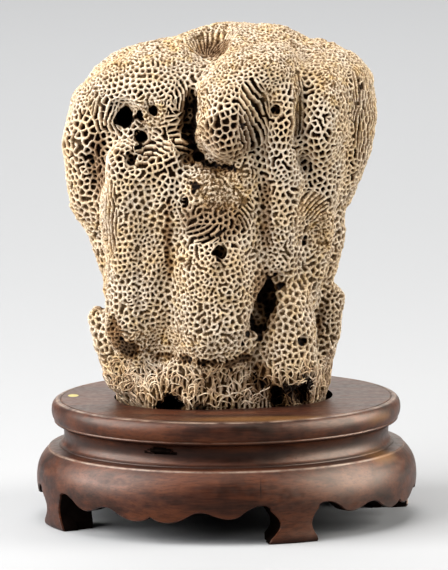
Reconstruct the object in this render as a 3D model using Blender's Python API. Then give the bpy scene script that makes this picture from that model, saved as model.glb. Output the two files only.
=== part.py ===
"""Scholar's rock of brain coral, seated in a round hardwood stand.

Two pieces: the coral, and the stand, carved from one block with a moulded rim, a waist,
a scalloped apron, four feet and a socket in its top that holds the coral.
Metres, +Z up. The origin is on the surface that the feet stand on, at the stand's axis.
The side that is shown to the viewer faces -Y.
"""

import math

import bmesh
import bpy
from mathutils import Euler, Matrix, Vector, noise

MM = 0.001

# Stand, all in millimetres.
STAND_HEIGHT = 72.2
LATHE_STEPS = 48
FOOT_COUNT = 4
FIRST_FOOT_DEG = 21.0
GAP_HALF_DEG = 37.0
HOLLOW_RADIUS = 90.0
HOLLOW_HEIGHT = 38.0
APRON_WALL = 9.5
SOCKET_DEPTH = 5.0
SOCKET_CLEARANCE = 1.3
REST_GAP = 0.3

# Coral, all in millimetres. Heights are counted from the stand's top face.
FOOT_HALF_WIDTH = 64.0
FOOT_HALF_DEPTH = 47.5
FOOT_TURN_DEG = 8.0
VOXEL = 2.4
DECIMATE_TO = 0.0455


# ---------------------------------------------------------------- helpers


def clear_scene():
    for obj in list(bpy.data.objects):
        bpy.data.objects.remove(obj)


def material(name, colour, roughness, metallic=0.0):
    made = bpy.data.materials.new(name)
    made.use_nodes = True
    shader = made.node_tree.nodes["Principled BSDF"]
    shader.inputs["Base Color"].default_value = (*colour, 1.0)
    shader.inputs["Roughness"].default_value = roughness
    shader.inputs["Metallic"].default_value = metallic
    made.diffuse_color = (*colour, 1.0)
    return made


def add_object(name, mesh, look=None):
    obj = bpy.data.objects.new(name, mesh)
    bpy.context.scene.collection.objects.link(obj)
    if look:
        mesh.materials.append(look)
    return obj


def as_cutter(obj):
    obj.hide_render = True
    obj.display_type = "WIRE"
    return obj


def boolean(obj, other, operation):
    cut = obj.modifiers.new(f"{operation.lower()} {other.name}", "BOOLEAN")
    cut.operation = operation
    cut.solver = "EXACT"
    cut.object = other
    return cut


def mesh_from(bm, name):
    bmesh.ops.recalc_face_normals(bm, faces=bm.faces)
    mesh = bpy.data.meshes.new(name)
    bm.to_mesh(mesh)
    bm.free()
    return mesh


# ---------------------------------------------------------------- stand

RIM = [
    (98.9, 72.2),
    (99.5, 71.5),
    (100.2, 72.2),
    (102.0, 71.8),
    (103.7, 70.2),
    (104.5, 67.4),
    (104.5, 64.4),
    (103.7, 61.4),
    (102.4, 59.6),
    (102.6, 58.7),
]
COVE = [(101.6, 58.2), (98.8, 57.0), (97.3, 53.0), (97.3, 49.2), (98.6, 46.4), (100.2, 45.2)]
APRON = [
    (105.6, 43.6),
    (107.0, 42.6),
    (110.4, 38.8),
    (112.8, 34.0),
    (113.9, 28.0),
    (114.0, 22.0),
    (112.9, 16.0),
    (112.2, 9.0),
    (112.4, 2.4),
    (110.8, 0.0),
]


def lathe(name, profile):
    """A turned mesh from an outline of (radius, height), in millimetres, axis to axis."""
    bm = bmesh.new()
    rings = []
    for radius, height in profile:
        count = LATHE_STEPS if radius else 1
        ring = []
        for i in range(count):
            a = 2 * math.pi * i / count
            at = (radius * MM * math.cos(a), radius * MM * math.sin(a), height * MM)
            ring.append(bm.verts.new(at))
        rings.append(ring)
    for one, two in zip(rings, rings[1:]):
        for i in range(LATHE_STEPS):
            j = (i + 1) % LATHE_STEPS
            corners = [one[i % len(one)], one[j % len(one)], two[j % len(two)], two[i % len(two)]]
            bm.faces.new(list(dict.fromkeys(corners)))
    return mesh_from(bm, name)


def radial_block(name, columns, rows, place):
    """A closed block on a grid. place(u, w, side) gives (angle in degrees, height, radius)
    for u and w from 0 to 1, on the inner side 0 and the outer side 1."""
    bm = bmesh.new()
    grid = {}
    for side in (0, 1):
        for i in range(columns + 1):
            for j in range(rows + 1):
                angle, height, radius = place(i / columns, j / rows, side)
                a = math.radians(angle)
                at = (radius * MM * math.cos(a), radius * MM * math.sin(a), height * MM)
                grid[side, i, j] = bm.verts.new(at)
    for i in range(columns):
        for j in range(rows):
            for side in (0, 1):
                around = [(i, j), (i + 1, j), (i + 1, j + 1), (i, j + 1)]
                bm.faces.new([grid[side, a, b] for a, b in around])
    rim = [(i, 0) for i in range(columns)] + [(columns, j) for j in range(rows)]
    rim += [(i, rows) for i in range(columns, 0, -1)] + [(0, j) for j in range(rows, 0, -1)]
    for one, two in zip(rim, rim[1:] + rim[:1]):
        bm.faces.new([grid[0, *one], grid[0, *two], grid[1, *two], grid[1, *one]])
    return mesh_from(bm, name)


def outer_radius(height):
    """The apron's outer radius at a height."""
    line = sorted((z, r) for r, z in APRON)
    for (z0, r0), (z1, r1) in zip(line, line[1:]):
        if height <= z1:
            return r0 + (r1 - r0) * max(height - z0, 0.0) / (z1 - z0)
    return line[-1][1]


SCALLOP = [
    (0.0, 16.2),
    (0.05, 14.0),
    (0.13, 12.9),
    (0.20, 13.4),
    (0.28, 15.4),
    (0.38, 19.2),
    (0.47, 19.5),
    (0.56, 17.2),
    (0.65, 15.7),
    (0.73, 16.8),
    (0.81, 20.6),
    (0.89, 23.2),
    (0.96, 23.4),
    (1.0, 22.0),
]


def scallop(across):
    """Height of the apron's lower edge, across from 0 half way to 1 at a foot."""
    for (a, low), (b, high) in zip(SCALLOP, SCALLOP[1:]):
        if across <= b:
            return low + (high - low) * (across - a) / (b - a)
    return SCALLOP[-1][1]


def foot_scroll(height, spread):
    """How many degrees the C-shaped edge of a foot is cut back at a height."""
    share = (height - 2.5) / 18.0
    deepest = 3.4 if spread > 0 else 2.2
    return deepest * math.sin(math.pi * share) if 0 < share < 1 else 0.0


def arch(centre):
    """The open arch between two feet: straight through the wall, with a scalloped top."""

    def place(u, w, side):
        spread = 2 * u - 1
        height = -4.0 + (scallop(abs(spread)) + 4.0) * w
        half = GAP_HALF_DEG + foot_scroll(height, spread) * abs(spread) ** 6
        return centre + half * spread, height, (70.0, 130.0)[side]

    return radial_block("arch", 30, 4, place)


def hollow(centre):
    """What the carver takes away behind the apron, so that only the feet stay thick."""

    def place(u, w, side):
        height = -4.0 + (HOLLOW_HEIGHT + 3.5) * w
        radius = outer_radius(height) - APRON_WALL if side else 60.0
        return centre + (GAP_HALF_DEG + 1.0) * (2 * u - 1), height, radius

    return radial_block("hollow", 8, 4, place)


def foot_outline(grow, steps=36):
    """The coral's footprint: a turned, slightly boxy oval, made larger by grow."""
    turn = math.radians(FOOT_TURN_DEG)
    outline = []
    for i in range(steps):
        a = 2 * math.pi * i / steps
        c, s = math.cos(a), math.sin(a)
        reach = (abs(c) ** 2.4 + abs(s) ** 2.4) ** (-1 / 2.4)
        reach *= 1.0 + 0.012 * math.sin(3 * a + 1.0) + 0.01 * math.sin(5 * a)
        x = (FOOT_HALF_WIDTH + grow) * reach * c
        y = (FOOT_HALF_DEPTH + grow) * reach * s
        across, along = x * math.cos(turn) - y * math.sin(turn), x * math.sin(turn) + y * math.cos(turn)
        outline.append((across - 1.5, along))
    return outline


def socket():
    """The recess for the coral's foot, a little wider than the foot."""
    bm = bmesh.new()
    outline = foot_outline(SOCKET_CLEARANCE)
    low = [bm.verts.new((x * MM, y * MM, (STAND_HEIGHT - SOCKET_DEPTH) * MM)) for x, y in outline]
    high = [bm.verts.new((x * MM, y * MM, (STAND_HEIGHT + 5.0) * MM)) for x, y in outline]
    for i, j in zip(range(len(low)), [*range(1, len(low)), 0]):
        bm.faces.new([low[i], low[j], high[j], high[i]])
    bm.faces.new(low[::-1])
    bm.faces.new(high)
    return mesh_from(bm, "socket")


def make_stand(wood):
    inside = [(HOLLOW_RADIUS + 1.0, 0.0), (HOLLOW_RADIUS, HOLLOW_HEIGHT), (0, HOLLOW_HEIGHT)]
    outline = [(0, STAND_HEIGHT), *RIM, *COVE, *APRON, *inside]
    stand = add_object("stand", lathe("stand", outline), wood)
    cuts = [socket()]
    for i in range(FOOT_COUNT):
        centre = FIRST_FOOT_DEG + 360 / FOOT_COUNT * (i + 0.5)
        cuts += [hollow(centre), arch(centre)]
    for i, mesh in enumerate(cuts):
        boolean(stand, as_cutter(add_object(f"{mesh.name}_cutter_{i}", mesh)), "DIFFERENCE")
    return stand


# ---------------------------------------------------------------- coral


def add_ball(bm, centre, radii, turn=(0, 0, 0), detail=3):
    """An ellipsoid. Centre and radii are in millimetres, heights from the stand's top."""
    at = Vector((centre[0], centre[1], centre[2] + STAND_HEIGHT)) * MM
    matrix = Matrix.Translation(at) @ Euler([math.radians(a) for a in turn]).to_matrix().to_4x4()
    matrix = matrix @ Matrix.Diagonal((*[r * MM for r in radii], 1.0))
    bmesh.ops.create_icosphere(bm, subdivisions=detail, radius=1.0, matrix=matrix)


def add_column(bm, stations):
    """A rounded column as a run of overlapping balls from station to station.
    Each station is (x, y, height, radius), in millimetres."""
    for (x0, y0, z0, r0), (x1, y1, z1, r1) in zip(stations, stations[1:]):
        length = math.dist((x0, y0, z0), (x1, y1, z1))
        count = max(2, math.ceil(length / (0.28 * min(r0, r1))))
        for i in range(count + 1):
            t = i / count
            r = r0 + (r1 - r0) * t
            centre = (x0 + (x1 - x0) * t, y0 + (y1 - y0) * t, z0 + (z1 - z0) * t)
            add_ball(bm, centre, (r, r, r), detail=2)


# The trunk inside the lobes, as ovals: height, half width, half depth, shift to the back.
TRUNK = [
    (-8, 57, 41, 0),
    (20, 54, 38, 3),
    (60, 54, 40, 5),
    (100, 58, 43, 8),
    (130, 66, 48, 10),
    (160, 74, 52, 9),
    (185, 72, 48, 8),
    (203, 60, 40, 9),
    (212, 42, 28, 10),
]

CROWN = {
    "top left": ((-36, 4, 178), (50, 46, 37.5)),
    "top": ((10, 12, 182), (62, 50, 43)),
    "top right": ((58, 5, 184), (32, 42, 30)),
    "centre": ((3, -35, 175), (21, 35, 30)),
    "brow": ((21, -24, 199), (31, 33, 18)),
    "shelf": ((-45, -37, 143), (23, 16, 12)),
    "front right": ((58, -22, 172), (17, 30, 36)),
    "back left": ((-44, 28, 172), (40, 36, 39)),
    "back": ((-6, 36, 168), (27, 34, 48)),
    "back right": ((34, 34, 176), (33, 33, 36)),
    "back side": ((62, 20, 160), (27, 32, 42)),
}

COLUMNS = {
    "far left": [
        (-69, -2, 174, 24),
        (-74, -4, 156, 24),
        (-73, -4, 126, 22.5),
        (-67, -4, 106, 15.5),
        (-64, -3, 84, 12),
        (-62, 0, 60, 10),
    ],
    "left": [
        (-56, -35, 147, 15),
        (-57, -33, 125, 17.5),
        (-55, -31, 90, 18),
        (-54, -29, 50, 18),
        (-50, -25, 30, 16),
        (-47, -22, 20, 12),
    ],
    "left of front": [
        (-32, -41, 150, 12.5),
        (-34, -39, 120, 13),
        (-36, -35, 90, 12),
        (-35, -32, 55, 12),
        (-32, -28, 26, 11),
    ],
    "front": [
        (-15, -45, 141, 9),
        (-10, -42, 127, 18),
        (-7, -38, 105, 25),
        (-6, -36, 80, 29.5),
        (-6, -34, 52, 29.5),
        (-6, -31, 36, 26),
        (-6, -27, 24, 19),
    ],
    "front shoulder": [(10, -44, 145, 11), (9, -40, 128, 15), (7, -38, 108, 17), (5, -36, 88, 18)],
    "rib": [
        (34, -40, 196, 13),
        (34, -46, 170, 12),
        (34, -43, 140, 12),
        (34, -38, 110, 12),
        (33, -35, 85, 11),
        (30, -32, 70, 9),
    ],
    "far right": [
        (66, 0, 190, 23.5),
        (70, 0, 170, 23.5),
        (68, 0, 150, 22.5),
        (62, 0, 130, 19.5),
        (57, 0, 118, 16.5),
        (57, 0, 96, 16.5),
        (50, 0, 72, 14),
    ],
    "right": [(54, -20, 140, 20), (50, -20, 112, 18), (46, -18, 84, 15), (42, -16, 60, 12)],
    "right buttress": [(44, -32, 64, 9.5), (40, -34, 48, 15.5), (37, -34, 28, 20), (36, -28, 8, 20)],
    "rear right buttress": [(62, 0, 58, 10.5), (57, 2, 36, 12.5), (54, 2, 12, 11.5)],
    "left buttress": [(-75, -16, 51, 7), (-69, -19, 34, 10.5), (-60, -22, 14, 12)],
}

# Columns on the far side: bearing, how fat it is, and the height at which it ends.
BACK_COLUMNS = [
    (10, 1.0, 128),
    (38, 1.2, 140),
    (66, 0.9, 118),
    (92, 1.25, 146),
    (120, 1.0, 126),
    (150, 1.2, 138),
]


def back_column(bearing, fatness, top):
    """A column that rises outwards from the foot to the crown, with a rounded head."""
    a = math.radians(bearing)
    stations = [(43, 27, 16, 14), (46, 31, 55, 16), (51, 38, 0.78 * top, 18), (53, 41, top, 16)]
    return [(w * math.cos(a), 2 + d * math.sin(a), h, r * fatness) for w, d, h, r in stations]


# Hollows worn or grown into the coral: centre, radii and turn.
HOLLOWS = {
    "cave recess": ((-47, -57, 173), (22, 15, 14), (0, -10, 0)),
    "cave": ((-58, -46, 177), (8.5, 26, 9.5), (0, 0, 10)),
    "cave floor": ((-50, -46, 166), (6.5, 22, 5.5), (0, 0, 0)),
    "cave side": ((-51, -46, 176), (4, 22, 5.5), (0, 0, 0)),
    "cave window": ((-43.5, -50, 182), (3.8, 18, 4), (0, 0, 0)),
    "left cleft": ((-20, -44, 172), (4.8, 16, 28), (0, 7, 0)),
    "left cleft foot": ((-16, -62, 150), (9, 16, 4.5), (0, 12, 0)),
    "lobe seam": ((24, -74, 168), (2.6, 14, 27), (0, 0, 0)),
    "rib seam": ((46, -58, 176), (3.4, 18, 30), (0, 5, 0)),
    "column hole": ((-3, -66, 84), (4.4, 16, 4.4), (8, 0, 0)),
    "right dish": ((55, -40, 97), (11, 10, 14), (0, 0, 30)),
    "crown pin hole": ((31, -70, 171), (3.0, 14, 3.0), (0, 0, 0)),
    "left pin hole": ((-55, -55, 150), (2.8, 9, 4.0), (0, 0, 0)),
    "buttress pin hole": ((46, -56, 40), (2.8, 9, 2.8), (0, 0, 0)),
    "foot arch left": ((-33, -52, -2), (6.8, 18, 11), (0, 0, 0)),
    "foot arch centre": ((-12, -54, -3), (6, 14, 7), (0, 0, 0)),
    "foot arch right": ((32, -46, 4), (5.6, 14, 7), (0, 0, 0)),
    "foot arch far right": ((45, -42, 5), (4.8, 14, 6.5), (0, 0, 0)),
}

# Furrows, as stations of (x, y, height, radius): the bowl on the crown with its outlet,
# which runs down into the left cleft, and the dark cleft low on the right.
FURROWS = {
    "bowl": [(-8, -2, 232, 19), (-9, -20, 224, 18), (-12, -36, 212, 12), (-18, -45, 199, 6)],
    "right cleft": [(30, -56, 77, 3.5), (26, -54, 62, 6.5), (20, -54, 46, 5), (14, -54, 34, 3)],
}


def wander(at, size, seed):
    """A smooth random number from -1 to 1 that changes over a distance of size."""
    return noise.noise(at / (size * MM) + Vector((seed, seed, seed)))


def add_trunk(bm):
    steps = 40
    made = []
    for height, half_width, half_depth, back in TRUNK:
        loop = []
        for i in range(steps):
            a = 2 * math.pi * i / steps
            at = (half_width * math.cos(a), back + half_depth * math.sin(a), height + STAND_HEIGHT)
            loop.append(bm.verts.new(Vector(at) * MM))
        made.append(loop)
    for one, two in zip(made, made[1:]):
        for i in range(steps):
            j = (i + 1) % steps
            bm.faces.new([one[i], one[j], two[j], two[i]])
    bm.faces.new(made[0][::-1])
    bm.faces.new(made[-1])


def add_skirt(bm):
    """The broken fringe round the foot, as a ring of upright blobs."""
    for i, (x, y) in enumerate(foot_outline(-6.5, 32)):
        at = (x, y, 9 + 3 * math.sin(3.7 * i))
        add_ball(bm, at, (7.6, 7.6, 16 + 2 * math.sin(3.1 * i)), detail=2)


def bed():
    """What the coral's underside is cut by: the socket, with a small gap all round."""
    bm = bmesh.new()
    inner = foot_outline(SOCKET_CLEARANCE - 0.9)
    outer = [(150 * math.cos(a), 150 * math.sin(a)) for a in [2 * math.pi * i / 36 for i in range(36)]]
    floor = STAND_HEIGHT - SOCKET_DEPTH + REST_GAP
    top = STAND_HEIGHT + REST_GAP
    layers = [(outer, -10.0), (outer, top), (inner, top), (inner, floor)]
    rings = [[bm.verts.new((x * MM, y * MM, z * MM)) for x, y in line] for line, z in layers]
    for one, two in zip(rings, rings[1:]):
        for i in range(36):
            j = (i + 1) % 36
            bm.faces.new([one[i], one[j], two[j], two[i]])
    bm.faces.new(rings[0][::-1])
    bm.faces.new(rings[-1])
    return mesh_from(bm, "bed")


def make_coral(stone):
    bm = bmesh.new()
    add_trunk(bm)
    add_skirt(bm)
    for centre, radii in CROWN.values():
        add_ball(bm, centre, radii, detail=4)
    for stations in COLUMNS.values():
        add_column(bm, stations)
    for bearing, fatness, top in BACK_COLUMNS:
        add_column(bm, back_column(bearing, fatness, top))
    for vert in bm.verts:
        drift = Vector([wander(vert.co, 34, s) for s in (1, 5, 9)]) * 3.0 * MM
        vert.co += drift + Vector([wander(vert.co, 14, s) for s in (13, 17, 21)]) * 1.6 * MM
    coral = add_object("coral_rock", mesh_from(bm, "coral"), stone)

    fuse = coral.modifiers.new("fuse", "REMESH")
    fuse.mode = "VOXEL"
    fuse.voxel_size = VOXEL * MM

    cut = bmesh.new()
    for centre, radii, turn in HOLLOWS.values():
        add_ball(cut, centre, radii, turn)
    for stations in FURROWS.values():
        add_column(cut, stations)
    hollows = as_cutter(add_object("coral_hollows", mesh_from(cut, "hollows")))
    merge = hollows.modifiers.new("merge", "REMESH")
    merge.mode = "VOXEL"
    merge.voxel_size = 1.2 * MM
    boolean(coral, hollows, "DIFFERENCE")

    again = coral.modifiers.new("even out", "REMESH")
    again.mode = "VOXEL"
    again.voxel_size = VOXEL * 0.75 * MM
    soften = coral.modifiers.new("soften", "SMOOTH")
    soften.factor = 0.5
    soften.iterations = 2
    facet = coral.modifiers.new("facet", "DECIMATE")
    facet.ratio = DECIMATE_TO
    boolean(coral, as_cutter(add_object("coral_bed", bed())), "DIFFERENCE")
    return coral


def main():
    clear_scene()
    wood = material("rosewood", (0.13, 0.055, 0.035), 0.38)
    stone = material("coral", (0.62, 0.52, 0.37), 0.9)
    make_stand(wood)
    make_coral(stone)


main()
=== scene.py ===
import math

import bmesh
import bpy
import numpy as np
from mathutils import Matrix, Vector
from mathutils.bvhtree import BVHTree
from mathutils.kdtree import KDTree


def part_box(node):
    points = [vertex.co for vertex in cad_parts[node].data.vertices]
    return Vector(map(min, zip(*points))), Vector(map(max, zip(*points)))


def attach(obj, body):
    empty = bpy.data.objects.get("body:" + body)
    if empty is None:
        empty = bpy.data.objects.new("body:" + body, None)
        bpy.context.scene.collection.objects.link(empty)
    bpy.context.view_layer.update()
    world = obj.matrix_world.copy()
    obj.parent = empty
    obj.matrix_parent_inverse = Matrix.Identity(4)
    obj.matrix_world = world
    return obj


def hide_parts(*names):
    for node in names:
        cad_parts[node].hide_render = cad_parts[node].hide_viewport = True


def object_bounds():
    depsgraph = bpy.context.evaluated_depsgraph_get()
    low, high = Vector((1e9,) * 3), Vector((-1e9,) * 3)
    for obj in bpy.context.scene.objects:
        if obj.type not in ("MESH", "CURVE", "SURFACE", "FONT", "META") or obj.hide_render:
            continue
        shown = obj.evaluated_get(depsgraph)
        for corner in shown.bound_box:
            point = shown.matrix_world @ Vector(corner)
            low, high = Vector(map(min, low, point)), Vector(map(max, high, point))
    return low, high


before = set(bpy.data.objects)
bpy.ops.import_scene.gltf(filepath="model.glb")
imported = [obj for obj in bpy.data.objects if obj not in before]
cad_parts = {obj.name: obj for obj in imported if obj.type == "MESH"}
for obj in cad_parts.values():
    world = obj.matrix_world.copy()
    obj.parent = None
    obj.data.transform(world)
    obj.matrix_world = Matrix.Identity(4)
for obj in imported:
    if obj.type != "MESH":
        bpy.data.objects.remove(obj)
cad_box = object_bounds()

# ------------------------------------------------------------------ the coral head
# One dried head of brain coral: a limy skeleton of lobes and columns, with thousands of pits
# between thin walls. It rests in the stand's socket. Its skin follows the carved solid, a
# little softened, and the pits are grown over that skin.

MM = 0.001
STAND_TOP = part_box("stand")[1].z
SKIN_VOXEL = 1.15 * MM
SOFTEN_SHARE = 0.6
SOFTEN_ROUNDS = 9
SWELLING = 0.8 * MM
SWELL_FROM = 1 * MM
SWELL_OVER = 8 * MM
SCATTER = np.array([73856093, 19349663, 83492791])
rng = np.random.default_rng(7)

# Hollows are ovals given by centre, width and height, in millimetres from the stand's axis
# and its top face. Where the living colony had grown over a hollow, it is filled again.
HOLLOWS = {
    "cave": [
        (-58.4, -31, 173.5, 5.8, 7.4), (-57.5, -24, 173.5, 6.5, 8), (-56, -14, 174, 9, 9)],
    "cave eyes": [
        (-48.4, -34, 175, 3.9, 4.6), (-48.4, -28, 175, 4.4, 5), (-48, -20, 174, 7, 7),
        (-48.5, -34, 161.8, 4.2, 4), (-48.5, -28, 162, 4.4, 4.2), (-49, -21, 163, 6, 6),
        (-41, -40, 178.6, 3.8, 4), (-41.3, -34, 178.6, 4, 4.2), (-42, -27, 178, 5, 5)],
    "cleft": [
        (-17.6, -27, 187, 2, 13), (-17.6, -26, 171, 2.6, 13), (-17.4, -29, 160, 3, 8),
        (-18.5, -16, 170, 4.5, 20)],
    "under the lobe": [
        (-14, -38, 150, 4.5, 4.2), (-7, -47, 147, 5, 2.2), (4, -48, 145.5, 6, 1.7),
        (14, -46, 147.5, 4, 1.8)],
    "front cleft": [
        (31.5, -43, 78, 3.6, 3.8), (27.6, -43.5, 72.5, 5, 7), (24.2, -45, 65.5, 5.6, 7.5),
        (21, -46.5, 58, 5.6, 8), (18.4, -49.5, 51, 5, 7), (15.4, -52.5, 45.5, 4.4, 6),
        (13, -54.5, 39.5, 4.2, 5.2), (24, -36, 66, 7, 14), (19, -41, 55, 7, 13)],
    "foot creases": [
        (-71, -34, 60, 3, 8), (-67.5, -40, 50, 3.4, 7), (-63.5, -42, 40, 3.8, 6),
        (-58.6, -43, 32, 4.6, 5), (-53, -43, 27, 3.8, 2.8), (-23, -51.5, 30, 3.6, 3),
        (-12, -57, 27.5, 4.4, 2.2), (4, -53, 23, 3.6, 3.8)],
    "side creases": [
        (-79, -25, 147, 3, 6), (-78, -25, 132, 3.4, 10), (-76, -26, 112, 2.6, 8),
        (49, -36, 98, 4.6, 7)],
    "borings": [
        (-55, -46, 151, 3.8, 5.2), (31, -52, 180, 4, 4), (-3, -58, 96, 5.2, 5.2),
        (46, -46, 40, 3.6, 3.6), (-22, -53, 125, 3.6, 3.8), (-17, -53, 134, 3, 3.2)],
    "foot gaps": [
        (-34, -44, 1, 7.5, 5), (-32, -42, 6, 5, 5.5), (-27, -44, 2, 4.5, 3.5),
        (-31, -34, 4, 8, 8), (-13, -50, 0, 6.5, 3.6), (-9, -50, 3, 2.6, 3),
        (30.5, -45, 10, 5.2, 4.2), (35, -45, 14, 4, 4.2), (32, -39, 11, 6, 6),
        (43.5, -43.5, 10.5, 4.8, 4.4), (46, -42.5, 15, 3.6, 3.8), (44, -37, 12, 6, 6)],
}
GROWN_SHUT = [
    (-3, -54, 85, 6.5, 8), (-3, -46, 86, 9, 10), (-59, -19, 177, 12, 12),
    (-51, -25.5, 172, 9, 11), (-50, -25.5, 165, 9, 6), (-43.5, -33, 183, 5, 5),
    (-24.5, -40.5, 156, 4.8, 8), (-42, -30, 85, 20.5, 52)]


def wander(points, size, seed):
    """Smooth random numbers from -1 to 1 at the points, changing over a distance of size."""
    at = points / size + seed * 17.3
    cell = np.floor(at).astype(np.int64)
    part = at - cell
    part = part * part * (3 - 2 * part)
    total = np.zeros(len(points))
    for corner in range(8):
        step = np.array([corner & 1, corner >> 1 & 1, corner >> 2 & 1])
        mixed = (cell + step) @ SCATTER + seed * 2654435
        mixed = (mixed ^ (mixed >> 13)) * 1274126177 & 0x7FFFFFFF
        mixed = (mixed ^ (mixed >> 15)) & 0xFFFFFF
        share = np.prod(np.where(step, part, 1 - part), axis=1)
        total += share * (mixed / 0x7FFFFF - 1)
    return total


def unit(vectors):
    """The vectors at length 1."""
    return vectors / np.maximum(np.linalg.norm(vectors, axis=-1, keepdims=True), 1e-12)


def dot(one, other):
    """The products of two sets of vectors."""
    return np.einsum("...k,...k->...", one, other)


def flat_on(vectors, normals):
    """The vectors laid flat on a surface with these normals, at length 1."""
    return unit(vectors - normals * dot(vectors, normals)[:, None])


def placed(name, mesh):
    """The mesh as an object in the scene."""
    made = bpy.data.objects.new(name, mesh)
    bpy.context.scene.collection.objects.link(made)
    return made


def finished(built, name):
    """What was built, as an object with its faces turned outwards."""
    bmesh.ops.recalc_face_normals(built, faces=built.faces)
    mesh = bpy.data.meshes.new(name)
    built.to_mesh(mesh)
    return placed(name, mesh)


def ovals(name, rows, turn=0.0):
    """One mesh of ovals, each given by its centre, its width, its height and, where it isn't
    as deep as it is wide, its depth."""
    built = bmesh.new()
    for x, y, z, wide, tall, *deep in rows:
        place = Matrix.Translation((x * MM, y * MM, z * MM + STAND_TOP))
        place @= Matrix.Rotation(turn, 4, "Z")
        place @= Matrix.Diagonal((wide * MM, (deep or [wide])[0] * MM, tall * MM, 1))
        bmesh.ops.create_icosphere(built, subdivisions=2, radius=1, matrix=place)
    return finished(built, name)


def modify(piece, kind, **settings):
    """Adds a modifier with its settings."""
    made = piece.modifiers.new(kind.lower(), kind)
    for title, value in settings.items():
        setattr(made, title, value)


def read(rows, title, kind=float):
    """Three numbers of every row of a mesh, as an array."""
    found = np.empty(len(rows) * 3, kind)
    rows.foreach_get(title, found)
    return found.reshape(-1, 3)


def soft_skin():
    """The solid's surface, evened out and softened: points, normals and triangles."""
    body = placed("coral_body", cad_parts["coral_rock"].data.copy())
    shut = ovals("coral_grown_shut", GROWN_SHUT)
    hollows = ovals("coral_hollows", [row for rows in HOLLOWS.values() for row in rows])
    for other, operation in ((shut, "UNION"), (hollows, "DIFFERENCE")):
        modify(body, "BOOLEAN", operation=operation, solver="EXACT", use_self=True, object=other)
    modify(body, "REMESH", mode="VOXEL", voxel_size=SKIN_VOXEL)
    modify(body, "SMOOTH", factor=SOFTEN_SHARE, iterations=SOFTEN_ROUNDS)
    skin = body.evaluated_get(bpy.context.evaluated_depsgraph_get()).to_mesh()
    skin.calc_loop_triangles()
    points, normals = read(skin.vertices, "co"), read(skin.vertex_normals, "vector")
    faces = read(skin.loop_triangles, "vertices", np.int32)
    for used in (body, shut, hollows):
        bpy.data.objects.remove(used)
    lift = wander(points, 11 * MM, 3) + 0.5 * wander(points, 5 * MM, 4)
    lift *= np.clip((points[:, 2] - STAND_TOP - SWELL_FROM) / SWELL_OVER, 0, 1)
    return points + normals * (lift * SWELLING)[:, None], normals, faces


skin, skin_normals, skin_faces = soft_skin()

# The cells: pits about 4 mm apart. Each grew round one seed on the skin, and neighbours share
# the wall between them. Every place has cells of its own size, wear and direction.

CELL_PITCH = 3.75 * MM
PITCH_WANDER = 0.10
FEW_MERGED = 0.09
GRAIN_SHARE = 0.3
SPREAD_ROUNDS = 4
CANDIDATES = 8
CROWN_FROM = 192
CROWN_BLEND = 14
CROWN_FINER = 0.36
CROWN_WEAR = 0.9
LOBES_FROM = 138
LOBES_BLEND = 26
COLUMN_WEAR = 0.55
STRAY_POINTS = 5
VALLEY_STEP = 4.2

height = (skin[:, 2] - STAND_TOP) / MM
pitch = CELL_PITCH * (1 + PITCH_WANDER * wander(skin, 22 * MM, 8))
along = np.zeros((len(skin), 3))
stretch = np.ones(len(skin))
merging = np.full(len(skin), FEW_MERGED)
worn = np.clip(wander(skin, 16 * MM, 12) * 1.6 - 0.9, 0, 1)
valley = np.full(len(skin), -1)
across = np.zeros(len(skin))
down = np.zeros(len(skin))
valley_open = []


def far_from(points, centre, radii):
    """How far the points are from an oval's centre, with 1 at its border. The centre is in
    millimetres from the stand's axis, with its height from the stand's top face."""
    middle = np.array(centre) * MM + np.array([0, 0, STAND_TOP])
    return np.linalg.norm((points - middle) / (np.array(radii) * MM), axis=1)


def near(centre, radii):
    """1 on the skin well inside an oval region, fading to 0 at its border."""
    return np.clip((1 - far_from(skin, centre, radii)) * 3, 0, 1)


def lay(inside, run, length):
    """The grain of a region: cells drawn out along a direction laid flat on the skin."""
    along[inside] = flat_on(unit(run), skin_normals)[inside]
    stretch[inside] = length


def patch(centre, radii, size=1.0, merge=None, wear=0.0, run=None, length=1.0):
    """An oval region with cells of their own size, more or less merged, worn or drawn out."""
    share = near(centre, radii)
    pitch[:] *= 1 + (size - 1) * share
    worn[:] = np.maximum(worn, wear * share)
    if merge is not None:
        merging[:] += (merge - merging) * share
    if run is not None:
        lay(share > GRAIN_SHARE, np.broadcast_to(run, skin.shape), length)


def valleys(centre, radii, width, kind, spot, wear=0.0, opened=0.93, waver=0.35):
    """A region of long side-by-side valleys: upright round a vertical axis, curved
    round a level one, or fanning out from a spot."""
    share = near(centre, radii)
    inside = share > GRAIN_SHARE
    x, y, z = ((skin - np.array([0, 0, STAND_TOP])) / MM - np.array(spot)).T
    if kind == "upright":
        round_by = np.hypot(x, y)[inside].mean()
        first, second = np.arctan2(x, -y) * round_by, z
        run = np.broadcast_to((0.0, 0.0, 1.0), skin.shape)
    elif kind == "curved":
        first = np.hypot(x, z)
        second = np.arctan2(z, x) * first[inside].mean()
        run = np.stack([-z, np.zeros(len(z)), x], axis=1)
    else:
        second = np.hypot(x, y)
        first = np.arctan2(x, -y) * second[inside].mean()
        run = np.stack([x, y, z], axis=1)
    bend = wander(skin, 9 * MM, len(valley_open) + 40) * waver
    valley_open.append(opened)
    valley[inside] = len(valley_open) - 1
    across[inside] = (first / width + bend)[inside]
    stagger = (np.floor(across) * 0.618) % 1
    down[inside] = (second / VALLEY_STEP + stagger)[inside]
    lay(inside, run, 1.6)
    worn[:] = np.maximum(worn, wear * share)


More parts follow.
